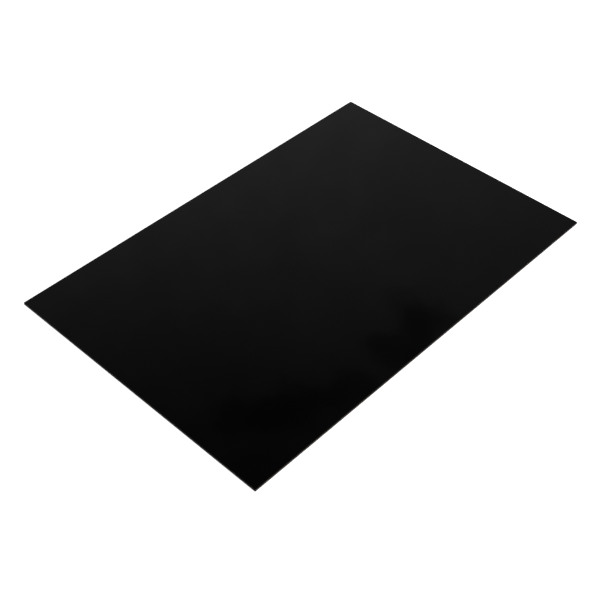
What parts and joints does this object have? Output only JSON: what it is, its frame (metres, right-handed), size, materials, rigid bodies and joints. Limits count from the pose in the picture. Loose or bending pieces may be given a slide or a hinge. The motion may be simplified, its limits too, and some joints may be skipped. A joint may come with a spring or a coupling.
{
  "type": "kick plate",
  "caption": "Flat black plastic sheet that guards the foot of a door, stuck on from behind with strips of foam tape under pull-off liners.",
  "frame": {"origin": "middle of the back of the plate, on the underside of the release liners, which is the side that goes to the door", "axes": "+Z out of the visible face, away from the door; +X along the long side, across the door; +Y along the short side, up the door"},
  "size_m": [0.6096, 0.4064, 0.0044],
  "materials": {
    "plate_black": "polished gloss, sanded edges",
    "tape_foam": "closed-cell foam, cut edges",
    "liner_film": "waxy release film with a fine embossed pattern"
  },
  "bodies": {
    "root": {"face_plate": "plate_black", "tape_top": "tape_foam", "tape_bottom": "tape_foam", "tape_left": "tape_foam", "tape_mid_left": "tape_foam", "tape_centre": "tape_foam", "tape_mid_right": "tape_foam", "tape_right": "tape_foam", "liner_top": "liner_film", "liner_bottom": "liner_film", "liner_left": "liner_film", "liner_mid_left": "liner_film", "liner_centre": "liner_film", "liner_mid_right": "liner_film", "liner_right": "liner_film"}
  },
  "joints": []
}
